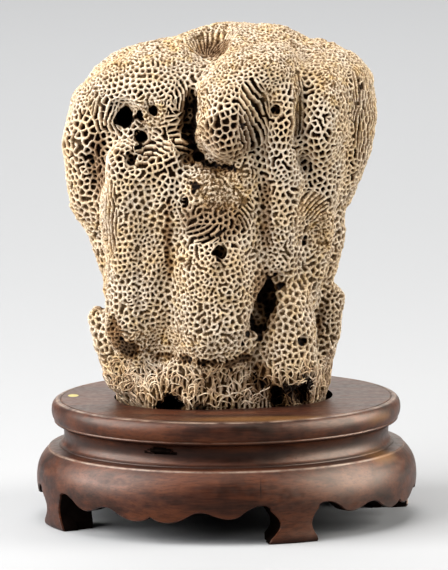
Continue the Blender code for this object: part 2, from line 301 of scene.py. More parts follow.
on_crown = np.clip((height - CROWN_FROM + 8 * wander(skin, 14 * MM, 17)) / CROWN_BLEND, 0, 1)
below_lobes = np.clip((LOBES_FROM - height + 10 * wander(skin, 20 * MM, 19)) / LOBES_BLEND, 0, 1)
pitch *= 1 - CROWN_FINER * on_crown
merging -= 0.05 * on_crown
worn = np.maximum(worn, np.maximum(CROWN_WEAR * on_crown, COLUMN_WEAR * below_lobes))
worn *= 1 - 0.9 * near((-6, -58, 106), (26, 18, 15))
patch((38, -44, 44), (26, 40, 40), 1.15, merge=0.03, wear=0.55)
patch((41, -37, 70), (20, 20, 12), 1.0, merge=0.05, wear=0.7)
patch((-76, -20, 30), (18, 30, 36), 1.02)
patch((-40, -42, 38), (26, 26, 15), 0.6, wear=1.0, merge=0.05)
patch((-14, -58, 38), (34, 16, 14), 0.85, wear=0.75)
patch((-10, -56, 70), (30, 16, 34), 1.0, wear=0.35)
patch((-50, -48, 90), (26, 20, 60), 1.04, merge=0.03, wear=0.55)
patch((0, -64, 166), (16, 18, 22), 1.28, merge=0.05)
patch((-15, -48, 178), (9, 18, 28), 0.7, merge=0.3, wear=0.95)
patch((30, -48, 156), (13, 14, 20), 1.2, merge=0.05)
patch((28, -54, 190), (7, 12, 8), 0.7, wear=0.9)
patch((64, -38, 192), (11, 20, 18), 0.8, wear=0.95)
patch((90, 0, 165), (14, 34, 44), 1.0, run=(0, 0, 1), length=1.5, wear=0.5)
patch((75, -30, 170), (8, 20, 36), 0.9, wear=0.7)
patch((60, -31, 102), (14, 14, 20), 0.8, wear=0.95)
patch((-2, -52, 134), (26, 18, 20), 0.7, merge=0.3, wear=1.0)
patch((-42, -36, 178), (12, 14, 14), 0.7, merge=0.2, wear=0.95)
patch((-82, -10, 190), (20, 30, 16), 0.8, wear=0.6)
patch((-27, -38, 168), (8, 16, 13), 1.0, run=(1, 0, 0.1), length=1.8)
patch((-36, -50, 146), (20, 18, 10), 1.3, merge=0.16)
patch((-84, -16, 160), (18, 30, 30), 1.18)
patch((55, -40, 168), (14, 18, 34), 1.24, merge=0.05)
patch((0, 0, 5), (140, 140, 22), 0.85, merge=0.35, run=(0, 0, 1), length=2.0)
valleys((-4, -4, 212), (19, 20, 13), 2.4, "fanning", (-10, -22, 200), opened=0.97)
valleys((-71, -27, 175), (9, 12, 13), 3.0, "curved", (-50, -27, 172), opened=0.5, waver=0.6)
valleys((-42, -45, 157), (13, 16, 6), 3.1, "curved", (-45, -45, 138), opened=0.7, waver=0.7)
valleys((-24, -36, 158), (10, 16, 8), 3.1, "curved", (-30, -45, 140), opened=0.8)
valleys((-25, -36, 187), (5, 14, 11), 2.8, "upright", (-44, -18, 190), opened=0.5, waver=0.7)
valleys((17, -54, 177), (12, 22, 25), 3.1, "curved", (-34, -60, 156), opened=0.92, waver=0.6)
valleys((44.5, -46, 184), (3.5, 12, 24), 2.4, "upright", (34, -40, 186), wear=0.85)
valleys((80, -22, 185), (3, 14, 40), 2.7, "upright", (64, 0, 185), wear=0.5)
valleys((-67, -44, 116), (4.5, 14, 26), 2.7, "upright", (-52, -24, 112), wear=0.6, opened=0.6,
        waver=0.6)
valleys((52, -36, 120), (12, 14, 10), 2.3, "curved", (75, -36, 95), wear=0.95, opened=0.7,
        waver=0.6)
valleys((13, -52, 118), (5, 14, 12), 2.6, "curved", (-8, -52, 100), wear=0.5, opened=0.8)
valleys((-12, -58, 107), (13, 14, 7), 3.1, "curved", (-30, -58, 150), opened=0.45, waver=0.9)

a, b, c = (skin[skin_faces[:, k]] for k in range(3))
face_area = np.linalg.norm(np.cross(b - a, c - a), axis=1) / 2
area = sum(np.bincount(skin_faces[:, k], face_area, len(skin)) for k in range(3)) / 3


def far_along(points, spots, owner):
    """The squared way from each point to the seeds in its row, shorter along their grain."""
    away = points[:, None] - spots["at"][owner]
    run = dot(away, spots["along"][owner])
    squeeze = 1 - 1 / spots["stretch"][owner] ** 2
    return dot(away, away) - squeeze * run**2


def tree_of(points):
    """The points in a search tree."""
    tree = KDTree(len(points))
    for i, point in enumerate(points.tolist()):
        tree.insert(point, i)
    tree.balance()
    return tree


def nearest_in(tree, points):
    """The number of the tree's point nearest to each of the points."""
    return np.array([tree.find(point)[1] for point in points.tolist()])


def summed(owner, values, count):
    """Three-number values summed up for each owner."""
    return np.stack([np.bincount(owner, values[:, k], count) for k in range(3)], axis=1)


skin_tree = tree_of(skin)


def settle(at):
    """The seeds with the grain and the normal of the skin under them."""
    under = nearest_in(skin_tree, at)
    return {"at": at, "under": under, "along": along[under],
            "stretch": stretch[under], "normal": skin_normals[under]}


def owners(spots):
    """The seed that each skin point belongs to: the nearest that faces the same way."""
    tree = tree_of(spots["at"])
    rows = [[hit[1] for hit in tree.find_n(point, CANDIDATES)] for point in skin.tolist()]
    rows = np.array(rows)
    turned = 1 - dot(skin_normals[:, None], spots["normal"][rows])
    far = far_along(skin, spots, rows) + turned * (2 * MM) ** 2
    return rows[np.arange(len(skin)), np.argmin(far, axis=1)]


def grow_cells():
    """Seeds drawn at random and then spread out evenly, and each skin point's cell."""
    density = area / (0.866 * pitch**2 * stretch)
    share = density / density.sum()
    spots = settle(skin[rng.choice(len(skin), int(density.sum()), replace=False, p=share)])
    for _ in range(SPREAD_ROUNDS):
        owner = owners(spots)
        mass = np.bincount(owner, density, len(spots["at"]))
        middle = summed(owner, density[:, None] * skin, len(mass))
        used = mass > 0
        spots = settle(middle[used] / mass[used][:, None])
    return len(spots["at"]), owners(spots)


seed_count, cell_of = grow_cells()
in_valley = valley >= 0
key = (valley * 1000 + np.floor(across) + 500) * 1000 + np.floor(down) + 500
numbers = np.unique(key[in_valley].astype(np.int64), return_inverse=True)[1]
cell_of[in_valley] = seed_count + numbers

edges = np.concatenate([skin_faces[:, [0, 1]], skin_faces[:, [1, 2]], skin_faces[:, [2, 0]]])
edges, face_edges = np.unique(np.sort(edges, axis=1), axis=0, return_inverse=True)
face_edges = face_edges.reshape(3, -1).T


def split_patches(labels):
    """Each cell as one connected patch: stray points join a neighbour, and larger
    stray patches become cells of their own."""
    for _ in range(3):
        island = np.arange(len(labels))
        inner = edges[labels[edges[:, 0]] == labels[edges[:, 1]]]
        before = None
        while before is None or (island != before).any():
            low = np.minimum(island[inner[:, 0]], island[inner[:, 1]])
            before = island.copy()
            np.minimum.at(island, inner[:, 0], low)
            np.minimum.at(island, inner[:, 1], low)
            island = island[island]
        size = np.bincount(island, minlength=len(labels))[island]
        small = size < STRAY_POINTS
        if not small.any():
            break
        outer = edges[island[edges[:, 0]] != island[edges[:, 1]]]
        for one, other in ((0, 1), (1, 0)):
            taken = outer[small[outer[:, one]] & ~small[outer[:, other]]]
            labels = labels.copy()
            labels[taken[:, one]] = labels[taken[:, other]]
    return np.unique(island, return_inverse=True)


first_point, cell_of = split_patches(cell_of)

# The walls between the cells, as lines on the skin: each runs from one meeting of three
# cells to the next. Where neighbours have merged, the wall is missing between them.

WALL_STEP = 1.5 * MM
SHORT_WALL = 1.25 * MM
OPENING = 0.45 * MM
EVEN_ROUNDS = 5
EVEN_SHARE = 0.55
ROW_MERGED = 0.03
EDGE_MARGIN = 0.08

cells = len(first_point)
centre = summed(cell_of, skin, cells) / np.bincount(cell_of, minlength=cells)[:, None]
grown = settle(centre)

split = cell_of[edges[:, 0]] != cell_of[edges[:, 1]]
start, end = edges[split, 0], edges[split, 1]
sides = np.stack([cell_of[start], cell_of[end]], axis=1)


def lean(point):
    """How much nearer the second side's cell is than the first side's, at each edge end."""
    far = far_along(skin[point], grown, sides)
    return far[:, 0] - far[:, 1]


from_start, from_end = lean(start), lean(end)
gap = from_start - from_end
share = np.where(np.abs(gap) > 1e-15, from_start / np.where(gap == 0, 1, gap), 0.5)


def step_over(value):
    """Where a value passes a whole number along each wall edge, and whether it does."""
    low, high = np.floor(value[start]), np.floor(value[end])
    run = value[end] - value[start]
    whole = np.maximum(low, high)
    return (whole - value[start]) / np.where(run == 0, 1, run), low != high


same_valley = (valley[start] == valley[end]) & (valley[start] >= 0)
side_step, beside = step_over(across)
down_step = step_over(down)[0]
share = np.where(same_valley, np.where(beside, side_step, down_step), share)
share = np.where(valley[start] != valley[end], 0.5, share)
share = np.clip(share, EDGE_MARGIN, 1 - EDGE_MARGIN)[:, None]
crossing = skin[start] * (1 - share) + skin[end] * share
crossing_normal = unit(skin_normals[start] * (1 - share) + skin_normals[end] * share)

crossing_at = np.full(len(edges), -1)
crossing_at[split] = np.arange(len(crossing))
face_crossings = crossing_at[face_edges]
found = (face_crossings >= 0).sum(axis=1)
meets = face_crossings[found == 3]
pairs = np.sort(face_crossings[found == 2], axis=1)[:, 1:]
knots = crossing[meets].mean(axis=1)
knot_normal = unit(crossing_normal[meets].mean(axis=1))
net = np.concatenate([crossing, knots])
net_normal = np.concatenate([crossing_normal, knot_normal])
first_knot = len(crossing)

links = [[] for _ in range(len(net))]
for one, other in pairs.tolist():
    links[one].append(other)
    links[other].append(one)
for knot, three in enumerate(meets.tolist(), first_knot):
    for one in three:
        links[one].append(knot)
        links[knot].append(one)


def trace_walls():
    """Each wall as its run of net points, knot to knot."""
    seen = np.zeros(first_knot, bool)
    runs = []
    starts = [(knot, one) for knot in range(first_knot, len(net)) for one in links[knot]]
    for knot, one in starts:
        if seen[one]:
            continue
        run = [knot, one]
        while run[-1] < first_knot:
            seen[run[-1]] = True
            ahead = [step for step in links[run[-1]] if step != run[-2]]
            run.append(ahead[0] if ahead else knot)
        runs.append(run)
    return runs


runs = trace_walls()
wall_sides = sides[[run[1] for run in runs]]

wall_of = np.full(len(net), -1)
for i, run in enumerate(runs):
    wall_of[run[1:-1]] = i

between = unit(centre[wall_sides[:, 1]] - centre[wall_sides[:, 0]])
grain = grown["along"][wall_sides]
in_line = np.abs(dot(between[:, None], grain)).min(axis=1)
has_grain = np.linalg.norm(grain, axis=2).min(axis=1) > 0.5
chance = merging[grown["under"]][wall_sides].mean(axis=1)
chance *= np.where(has_grain, np.clip((in_line - 0.55) / 0.25, 0.04, 1), 0.75)
first_edge = np.array([run[1] for run in runs])
opened = np.array(valley_open)[valley[start[first_edge]]]
in_rows = np.where(beside[first_edge], ROW_MERGED, opened)
merged = rng.random(len(runs)) < np.where(same_valley[first_edge], in_rows, chance)

links_3 = np.array([(near_by + [near_by[0]] * 3)[:3] for near_by in links])
pull = np.ones((len(net), 3))
pull[:first_knot, 2] = 0
standing = ~merged[wall_of[links_3[first_knot:]]]
pair_only = standing.sum(axis=1) == 2
pull[first_knot:][pair_only] = standing[pair_only]
for _ in range(EVEN_ROUNDS):
    middle = np.einsum("ij,ijk->ik", pull, net[links_3]) / pull.sum(axis=1)[:, None]
    net += (middle - net) * EVEN_SHARE
net_normal = unit(net_normal + net_normal[links_3].mean(axis=1))


def at_marks(marks, run_length, values):
    """Three-number values at marks along a run."""
    return np.stack([np.interp(marks, run_length, values[:, k]) for k in range(3)], axis=1)


rim = [net[first_knot:]]
rim_normal = [net_normal[first_knot:]]
rim_count = len(knots)
rim_runs = []
for run, gone in zip(runs, merged):
    step = np.linalg.norm(np.diff(net[run], axis=0), axis=1)
    run_length = np.concatenate([[0], np.cumsum(step)])
    whole = run_length[-1]
    if gone and whole > 2.6 * OPENING:
        marks = np.array([OPENING, whole - OPENING])
    else:
        count = max(2 if gone or whole > SHORT_WALL else 1, round(whole / WALL_STEP))
        marks = whole * np.arange(1, count) / count
    rim.append(at_marks(marks, run_length, net[run]))
    rim_normal.append(at_marks(marks, run_length, net_normal[run]))
    inner = list(range(rim_count, rim_count + len(marks)))
    rim_runs.append([run[0] - first_knot] + inner + [run[-1] - first_knot])
    rim_count += len(marks)
rim = np.concatenate(rim)
rim_normal = unit(np.concatenate(rim_normal))
wall_ends = np.concatenate([[run[0], run[-1]] for run in rim_runs])
standing_walls = np.bincount(wall_ends, np.repeat(~merged, 2), rim_count)
crest = np.ones(rim_count)
crest[: len(knots)] = standing_walls[: len(knots)] > 0
for run, gone in zip(rim_runs, merged):
    if gone:
        crest[run[1:-1]] = 0

# Each pit is a round or long hollow: a narrow rounded crest, steep sides with fine upright
# blades, and a floor up to 2.9 mm down. Thin parts of the coral get shallower pits.

INSETS = (0.56 * MM, 0.98 * MM)
MOST_INSETS = (0.34, 0.62)
DROPS = (0.12, 0.86)
ROUNDING = 0.75
PIT_DEPTH = 2.9 * MM
LEAST_DEPTH = 0.1 * MM
TOP_CLEAR = 0.3 * MM
THIN_SHARE = 0.36
BLADE_GAP = 0.62 * MM
LONG_FROM = 1.3
LONG_FLOOR = 0.82
DEPTH_VARIES = 0.25
WORN_SHALLOWER = 0.72
MERGED_FLOOR = 0.84
BROKEN_DROP = 0.82
CREST_ROUGH = 0.36
WORN_ROUGH = 0.42


def closed_loops():
    """Each cell's border as one closed run of rim points, turning left round the cell."""
    walls_of = [[] for _ in range(cells)]
    for i, (one, other) in enumerate(wall_sides.tolist()):
        walls_of[one].append(i)
        walls_of[other].append(i)
    loops = []
    for cell, walls in enumerate(walls_of):
        left = set(walls)
        while left:
            wall = min(left)
            left.discard(wall)
            loop = list(rim_runs[wall])
            while loop[-1] != loop[0]:
                ahead = [i for i in left if loop[-1] in (rim_runs[i][0], rim_runs[i][-1])]
                if not ahead:
                    break
                wall = min(ahead)
                left.discard(wall)
                run = rim_runs[wall]
                loop += run[1:] if run[0] == loop[-1] else run[-2::-1]
            loops.append((cell, loop[:-1]))
    return loops


loop_point, loop_cell, loop_next, loop_run, loop_total = [], [], [], [], []
for cell, loop in closed_loops():
    spot = rim[loop]
    away = spot - spot.mean(axis=0)
    facing = np.cross(away, np.roll(away, -1, axis=0)).sum(axis=0)
    if facing @ rim_normal[loop].sum(axis=0) < 0:
        loop, spot = loop[::-1], spot[::-1]
    step = np.linalg.norm(np.roll(spot, -1, axis=0) - spot, axis=1)
    first = len(loop_point)
    loop_next += list(range(first + 1, first + len(loop))) + [first]
    loop_point += loop
    loop_cell += [cell] * len(loop)
    blades = max(6, round(step.sum() / BLADE_GAP))
    loop_run += (np.concatenate([[0], np.cumsum(step)[:-1]]) * blades / step.sum()).tolist()
    loop_total += [blades] * len(loop)
loop_point, loop_cell, loop_next, loop_run, loop_total = (
    np.array(v) for v in (loop_point, loop_cell, loop_next, loop_run, loop_total))

spot, spot_normal = rim[loop_point], rim_normal[loop_point]
count = np.maximum(np.bincount(loop_cell, minlength=cells), 1)[:, None]
heart = summed(loop_cell, spot, cells) / count
facing = unit(summed(loop_cell, spot_normal, cells))
long_cell = grown["stretch"] > LONG_FROM
spine = grown["along"] * long_cell[:, None]
spine = flat_on(spine, facing) * long_cell[:, None]
offset = dot(spot - heart[loop_cell], spine[loop_cell])
target = heart[loop_cell] + spine[loop_cell] * (offset * LONG_FLOOR)[:, None]

cell_wear = worn[grown["under"]]
hidden = heart[:, 2] < STAND_TOP - 1.5 * MM
depth = PIT_DEPTH * (1 + DEPTH_VARIES * rng.standard_normal(cells).clip(-1.5, 1.5))
depth *= (1 - WORN_SHALLOWER * cell_wear) * np.clip((grown["stretch"] - 1) * 0.1 + 1, 1, 1.2)
body = BVHTree.FromPolygons(skin.tolist(), skin_faces.tolist())
for i in range(cells):
    inward = Vector(-facing[i])
    behind = body.ray_cast(Vector(heart[i]) + inward * MM, inward)[3]
    if behind is not None:
        depth[i] = min(depth[i], THIN_SHARE * (behind + MM))
depth[hidden] = LEAST_DEPTH

# How open each cell lies to the light, from 0 in the black hollows to 1. The coral's colour is
# darkened by it as painted shade. Ovals with a level lift it in the open places and lower it in
# the creases between the columns, where softer shade is painted.

SKY_RAYS = 20
SKY_REACH = 40 * MM
SKY_SPREAD = 0.92
OFF_SKIN = 0.8 * MM
BLACK = 0.16
FOOT_TALL = 20 * MM
FOOT_SHADE = 0.52
OPEN_AIR = [
    (-45, -44, 102, 20, 46, 0.95), (-38, -46, 150, 16, 9, 0.8), (60, -30, 92, 18, 24, 0.95),
    (40, -46, 42, 13, 22, 0.85), (-38, -42, 41, 15, 7, 1)]
DEEP_SHADE = [
    (-18, -26, 174, 2.9, 23), (-16.5, -32, 172, 3.4, 20), (-15, -38, 170, 3.4, 18),
    (-15.5, -36, 152, 5, 6), (0, -45, 146, 12, 2), (26.5, -44, 70, 5.2, 7),
    (23, -46, 62, 5.6, 7.5), (19.4, -49, 54, 5.2, 6.5), (15.8, -52, 46, 4.4, 5.5)]
# Painted shade, soft-edged: creases, the lobes' undersides and the band above the foot.
PAINTED_SHADE_OVALS = [
    (-6, -56, 114, 24, 15, 0.46), (25, -46, 118, 5, 30, 0.45), (-75, -28, 144, 8, 26, 0.42),
    (-66, -40, 44, 6, 14, 0.36), (-58, -42, 35, 8, 8, 0.22), (52, -38, 165, 10, 30, 0.6),
    (4, -64, 164, 22, 20, 0.52), (22, -44, 70, 9, 20, 0.45), (-37, -39, 31, 9, 3, 0.3),
    (-24, -48, 30.5, 6, 3.4, 0.22), (-12, -56, 29, 8, 2.8, 0.18), (1, -55, 28, 8, 3, 0.26),
    (11, -50, 31, 6, 4, 0.22), (20, -47, 20, 8, 9, 0.3), (-4, -8, 211, 15, 10, 0.42),
    (-33.5, -49, 104, 3.4, 34, 0.4)]

sky = unit(rng.standard_normal((SKY_RAYS, 3)))
open_to = np.zeros(cells)
for i in range(cells):
    origin = Vector(heart[i] + facing[i] * OFF_SKIN)
    for ray in unit(facing[i] + sky * SKY_SPREAD):
        open_to[i] += body.ray_cast(origin, Vector(ray), SKY_REACH)[3] is None
open_to /= SKY_RAYS
for *place, wide, tall, level in OPEN_AIR:
    far = far_from(heart, place, (wide, 30, tall))
    open_to = np.maximum(open_to, level * np.clip((1.2 - far) / 0.5, 0, 1))
# The hollows and the deep shade are painted black.
for *place, wide, tall in [row for rows in HOLLOWS.values() for row in rows] + DEEP_SHADE:
    far = far_from(heart - facing * 1.5 * MM, place, (wide, wide, tall))
    open_to[far < 1.1] = np.minimum(open_to[far < 1.1], BLACK)
for *place, wide, tall, level in PAINTED_SHADE_OVALS:
    far = far_from(heart, place, (wide, max(wide, 12), tall))
    shade = level + (1 - level) * np.clip((far - 0.7) / 0.5, 0, 1)
    open_to = np.minimum(open_to, shade)
# The foot of the coral, next to the stand, is painted darker as shade.
open_to[heart[:, 2] < STAND_TOP + FOOT_TALL] *= FOOT_SHADE


def on_rim(value):
    """A value of each cell, shared out over the rim points round it."""
    each = np.bincount(loop_point, minlength=rim_count)
    return np.bincount(loop_point, value[loop_cell], rim_count) / each


def over_cells(value):
    """A value of each cell on the points of its rim, its three rings and its heart."""
    return np.concatenate([on_rim(value)] + [value[loop_cell]] * 3 + [value])


roughness = CREST_ROUGH + WORN_ROUGH * np.maximum(worn[nearest_in(skin_tree, rim)], 0)
rim_lift = (wander(rim, 3.1 * MM, 21) + 0.5 * wander(rim, 1.6 * MM, 22)) * roughness * MM
sunk = (1 - crest) * BROKEN_DROP * on_rim(depth)
rim_final = rim + rim_normal * (rim_lift - sunk)[:, None]

far = np.linalg.norm(target - spot, axis=1)
inner = unit(spot_normal + facing[loop_cell])
wall_half = 0.95 + 0.3 * wander(spot, 5 * MM, 31) + 0.25 * wander(spot, 1.9 * MM, 33)
wall_half += 0.3 * cell_wear[loop_cell]
on_floor = 1 - crest[loop_point]
rings = []
ridge = [crest]
for inset, drop, most in zip(INSETS, DROPS, MOST_INSETS):
    left_over = far - np.minimum(inset * wall_half, most * far)
    usual = (np.bincount(loop_cell, left_over, cells) / count[:, 0])[loop_cell]
    left_over -= ROUNDING * crest[loop_point] * np.maximum(left_over - usual, 0)
    share = left_over / np.maximum(far, 1e-6)
    sink = np.maximum(drop, on_floor * MERGED_FLOOR) * depth[loop_cell]
    lift = rim_lift[loop_point] * (1 - drop)
    rings.append(target + (spot - target) * share[:, None] + inner * (lift - sink)[:, None])
    ridge.append(np.minimum(1 - drop, crest[loop_point] * 0.9 + 0.14))
rings.append(target - facing[loop_cell] * depth[loop_cell][:, None])
ridge.append(np.zeros(len(target)))
hearts = heart - facing * depth[:, None]
ridge.append(np.zeros(cells))

points = np.concatenate([rim_final] + rings + [hearts])
loops = len(loop_point)
here = np.arange(loops)
ring = [loop_point] + [rim_count + k * loops + here for k in range(3)]
ring.append(rim_count + 3 * loops + loop_cell)
run_ahead = np.where(loop_run[loop_next] > 0, loop_run[loop_next], loop_total)
shown = ~hidden[loop_cell]
long_loop = long_cell[loop_cell]


def strip(outer, inner, picked):
    """Four-sided faces between two rings of points, with their blade and cell numbers."""
    corners = np.stack([outer, outer[loop_next], inner[loop_next], inner], axis=1)[picked]
    blades = np.stack([loop_run, run_ahead, run_ahead, loop_run], axis=1)[picked]
    return corners, blades, loop_cell[picked]


strips = [strip(ring[0], ring[1], shown), strip(ring[1], ring[2], shown),
          strip(ring[2], ring[3], shown & long_loop), strip(ring[2], ring[4], shown & ~long_loop),
          strip(ring[0], ring[4], ~shown)]
faces, blades, face_cell = (np.concatenate([group[k] for group in strips]) for k in range(3))


def mesh_of(name, points, faces, values, corner_values):
    """A smooth mesh of four-sided and three-sided faces (a triangle repeats its last
    corner), with its point values and corner values."""
    three = faces[:, 2] == faces[:, 3]
    kept = np.ones(faces.shape, bool)
    kept[three, 3] = False
    used, flat = np.unique(faces[kept], return_inverse=True)
    mesh = bpy.data.meshes.new(name)
    mesh.vertices.add(len(used))
    mesh.vertices.foreach_set("co", points[used].ravel())
    mesh.loops.add(len(flat))
    mesh.loops.foreach_set("vertex_index", flat)
    size = kept.sum(axis=1)
    mesh.polygons.add(len(faces))
    mesh.polygons.foreach_set("loop_start", np.concatenate([[0], np.cumsum(size)[:-1]]))
    mesh.update(calc_edges=True)
    for domain, rows, given in (("POINT", used, values), ("CORNER", kept, corner_values)):
        for title, value in given.items():
            kept_at = mesh.attributes.new(title, "FLOAT", domain)
            kept_at.data.foreach_set("value", value[rows])
    mesh.validate()
    mesh.shade_smooth()
    return mesh, used


def vertex_normals(points, faces):
    """Smooth normals of the whole surface, so that its pieces meet without a line."""
    a, b, c, d = (points[faces[:, k]] for k in range(4))
    turned = np.cross(c - a, d - b)
    three = faces[:, 2] == faces[:, 3]
    turned[three] = np.cross(b - a, c - a)[three]
    return unit(sum(summed(faces[:, k], turned, len(points)) for k in range(4)))


points[:, 2] = np.minimum(points[:, 2], cad_box[1][2] - TOP_CLEAR)
normals = vertex_normals(points, faces)
tint = rng.random(cells)
values = {"ridge": np.concatenate(ridge), "wear": over_cells(cell_wear),
          "tint": over_cells(tint), "open": over_cells(open_to)}

# The coral's material: a limy skeleton, cream on its crests and dark brown in its pits, with
# sandy worn places, ochre stains and fine grain. Painted shade darkens its pit floors and
# shut-in places further.


def new_material(name):
    """A material with a shader tree of its own."""
    made = bpy.data.materials.new(name)
    made.use_nodes = True
    return made


def feed(tree, socket, value):
    """Gives an input a number or a colour, or links it to another node's output."""
    if isinstance(value, bpy.types.NodeSocket):
        tree.links.new(value, socket)
    else:
        socket.default_value = (*value, 1) if socket.type == "RGBA" else value


def add_node(tree, kind, inputs, out=0, **settings):
    """A shader node with its settings and inputs, by name or number. Gives one output."""
    made = tree.nodes.new(kind)
    for title, value in settings.items():
        setattr(made, title, value)
    for title, value in inputs.items():
        feed(tree, made.inputs[title], value)
    return made.outputs[out]


def ramp(tree, factor, stops):
    """A colour ramp over a factor, from (place, colour) stops. A single number is a grey."""
    colour = add_node(tree, "ShaderNodeValToRGB", {"Fac": factor})
    bar = colour.node.color_ramp
    while len(bar.elements) < len(stops):
        bar.elements.new(0.5)
    for element, (place, shade) in zip(bar.elements, stops):
        element.position = place
        element.color = (*np.broadcast_to(shade, 3), 1)
    return colour


def mix(tree, factor, first, second, blend="MIX"):
    """Two colours mixed by a factor."""
    inputs = {0: factor, 6: first, 7: second}
    return add_node(tree, "ShaderNodeMix", inputs, 2, data_type="RGBA", blend_type=blend)


def work_out(tree, operation, *values, clamp=False):
    """A sum done with one, two or three values."""
    inputs = dict(enumerate(values))
    return add_node(tree, "ShaderNodeMath", inputs, operation=operation, use_clamp=clamp)


def noise(tree, place, scale, detail, rough):
    """A noise value over the place given, from about 0.3 to 0.7."""
    inputs = {"Vector": place, "Scale": scale, "Detail": detail, "Roughness": rough}
    return add_node(tree, "ShaderNodeTexNoise", inputs)


def attribute(tree, name):
    """A value kept on the mesh."""
    return add_node(tree, "ShaderNodeAttribute", {}, "Fac", attribute_name=name)


def mottle_group():
    """The stains and pores that every surface has: the colour is tinted where a noise is at
    one value, and clear of the tint where it is at another."""
    group = bpy.data.node_groups.new("mottle", "ShaderNodeTree")
    kinds = {"Colour": "Color", "Strength": "Float", "Tint": "Color", "Tinted At": "Float",
             "Clear At": "Float", "Place": "Vector", "Scale": "Float", "Detail": "Float",
             "Roughness": "Float"}
    for title, kind in kinds.items():
        group.interface.new_socket(title, in_out="INPUT", socket_type="NodeSocket" + kind)
    for title, kind in (("Colour", "Color"), ("Noise", "Float")):
        group.interface.new_socket(title, in_out="OUTPUT", socket_type="NodeSocket" + kind)
    given = group.nodes.new("NodeGroupInput").outputs
    put_out = group.nodes.new("NodeGroupOutput").inputs
    value = noise(group, *(given[title] for title in ("Place", "Scale", "Detail", "Roughness")))
    inputs = {0: value, 1: given["Tinted At"], 2: given["Clear At"]}
    clear = add_node(group, "ShaderNodeMapRange", inputs)
    tint = mix(group, clear, given["Tint"], (1, 1, 1))
    tinted = mix(group, given["Strength"], given["Colour"], tint, "MULTIPLY")
    feed(group, put_out["Colour"], tinted)
    feed(group, put_out["Noise"], value)
    return group


MOTTLE = mottle_group()


def mottled(tree, colour, strength, tint, tinted_at, clear_at, place, scale, detail, rough):
    """A colour with the mottle over it."""
    values = (colour, strength, tint, tinted_at, clear_at, place, scale, detail, rough)
    inputs = dict(enumerate(values))
    return add_node(tree, "ShaderNodeGroup", inputs, "Colour", node_tree=MOTTLE)


coral = new_material("coral_skeleton")
tree = coral.node_tree
place = add_node(tree, "ShaderNodeTexCoord", {}, "Object")
ridge_value, wear_value = attribute(tree, "ridge"), attribute(tree, "wear")
# The pit floors go nearly black: partly the coral's own brown, partly painted shade.
clean = ramp(tree, ridge_value, [(0, (0.010, 0.005, 0.003)), (0.15, (0.030, 0.015, 0.007)),
                                 (0.45, (0.272, 0.165, 0.096)), (0.76, (0.775, 0.617, 0.462)),
                                 (1, (0.965, 0.862, 0.715))])
sand = ramp(tree, ridge_value, [(0, (0.25, 0.165, 0.085)), (0.5, (0.61, 0.455, 0.30)),
                                (1, (0.935, 0.81, 0.65))])
skeleton = mix(tree, work_out(tree, "MULTIPLY", wear_value, 0.9, clamp=True), clean, sand)
cell_tone = ramp(tree, attribute(tree, "tint"), [(0, (0.80, 0.75, 0.66)), (1, 1.06)])
skeleton = mix(tree, 0.7, skeleton, cell_tone, "MULTIPLY")
# Painted shade: the colour darkens where a cell is shut in from the light, nearly black in
# hollows.
painted_shut_in_shade = ramp(tree, attribute(tree, "open"), [(0.16, (0.014, 0.008, 0.005)),
                                               (0.38, (0.36, 0.26, 0.175)), (0.72, 1)])
skeleton = mix(tree, 1.0, skeleton, painted_shut_in_shade, "MULTIPLY")
pitting, staining = (work_out(tree, "MULTIPLY_ADD", wear_value, share, 0.15, clamp=True)
                     for share in (0.85, 0.7))
warmed = mottled(tree, skeleton, 0.6, (1.0, 0.88, 0.66), 0.62, 0.40, place, 45, 3, 0.55)
pitted = mottled(tree, warmed, pitting, (0.24, 0.16, 0.085), 0.42, 0.53, place, 520, 4, 0.7)
stained = mottled(tree, pitted, staining, (0.95, 0.83, 0.54), 0.66, 0.54, place, 120, 3, 0.55)
specked = mottled(tree, stained, 0.6, (0.70, 0.60, 0.47), 0.36, 0.56, place, 900, 2, 0.55)
turn = work_out(tree, "MULTIPLY", attribute(tree, "blade"), 2 * math.pi)
raised = noise(tree, place, 1500, 3, 0.55)
raised = work_out(tree, "MULTIPLY_ADD", work_out(tree, "SINE", turn), 0.35, raised)
raised = work_out(tree, "MULTIPLY_ADD", pitted.node.outputs["Noise"], 2.5, raised)
bump = {"Strength": 0.8, "Distance": 0.4 * MM, "Height": raised}


def dress(tree, values):
    """Sets the inputs of a material's shader."""
    for title, value in values.items():
        feed(tree, tree.nodes["Principled BSDF"].inputs[title], value)


dress(tree, {"Base Color": specked, "Roughness": 0.92, "Specular IOR Level": 0.06,
             "Normal": add_node(tree, "ShaderNodeBump", bump)})

# The head is cut into six meshes by height and depth only so that none grows too large.

FOOT_UNDER = 24
COLUMNS_UNDER = 120
CROWN_ABOVE = 196
BACK_FROM = -12
HEAD_MESHES = ("coral_foot", "coral_columns_front", "coral_columns_back",
               "coral_lobes_front", "coral_lobes_back", "coral_crown")

heart_height = (heart[:, 2] - STAND_TOP) / MM
behind = heart[:, 1] > BACK_FROM * MM
region = np.where(heart_height < COLUMNS_UNDER, 1, 3) + behind
region[heart_height < FOOT_UNDER] = 0
region[heart_height > CROWN_ABOVE] = HEAD_MESHES.index("coral_crown")


def coral_piece(name, mesh):
    """A piece of the coral in the scene, with its material and its place in the frame."""
    mesh.materials.append(coral)
    piece = placed(name, mesh)
    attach(piece, "root")
    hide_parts("coral_rock")


for k, name in enumerate(HEAD_MESHES):
    picked = region[face_cell] == k
    mesh, used = mesh_of(name, points, faces[picked], values, {"blade": blades[picked]})
    mesh.normals_split_custom_set_from_vertices(normals[used])
    coral_piece(name, mesh)

# ------------------------------------------------------------------ the coral's root tangle
# Round the foot the dried coral frays into thin curly strands of the same limy skeleton,
# grown over one another just off the skin.

STRANDS = 850
STRAND_STEP = 1.15 * MM
STRAND_RINGS = 10
STRAND_SIDES = 5
STRAND_THICK = 0.4 * MM
STRAND_SINK = 0.35
STRAND_TALL = 21
OVER_WOOD = 0.7 * MM
CURL = 0.34


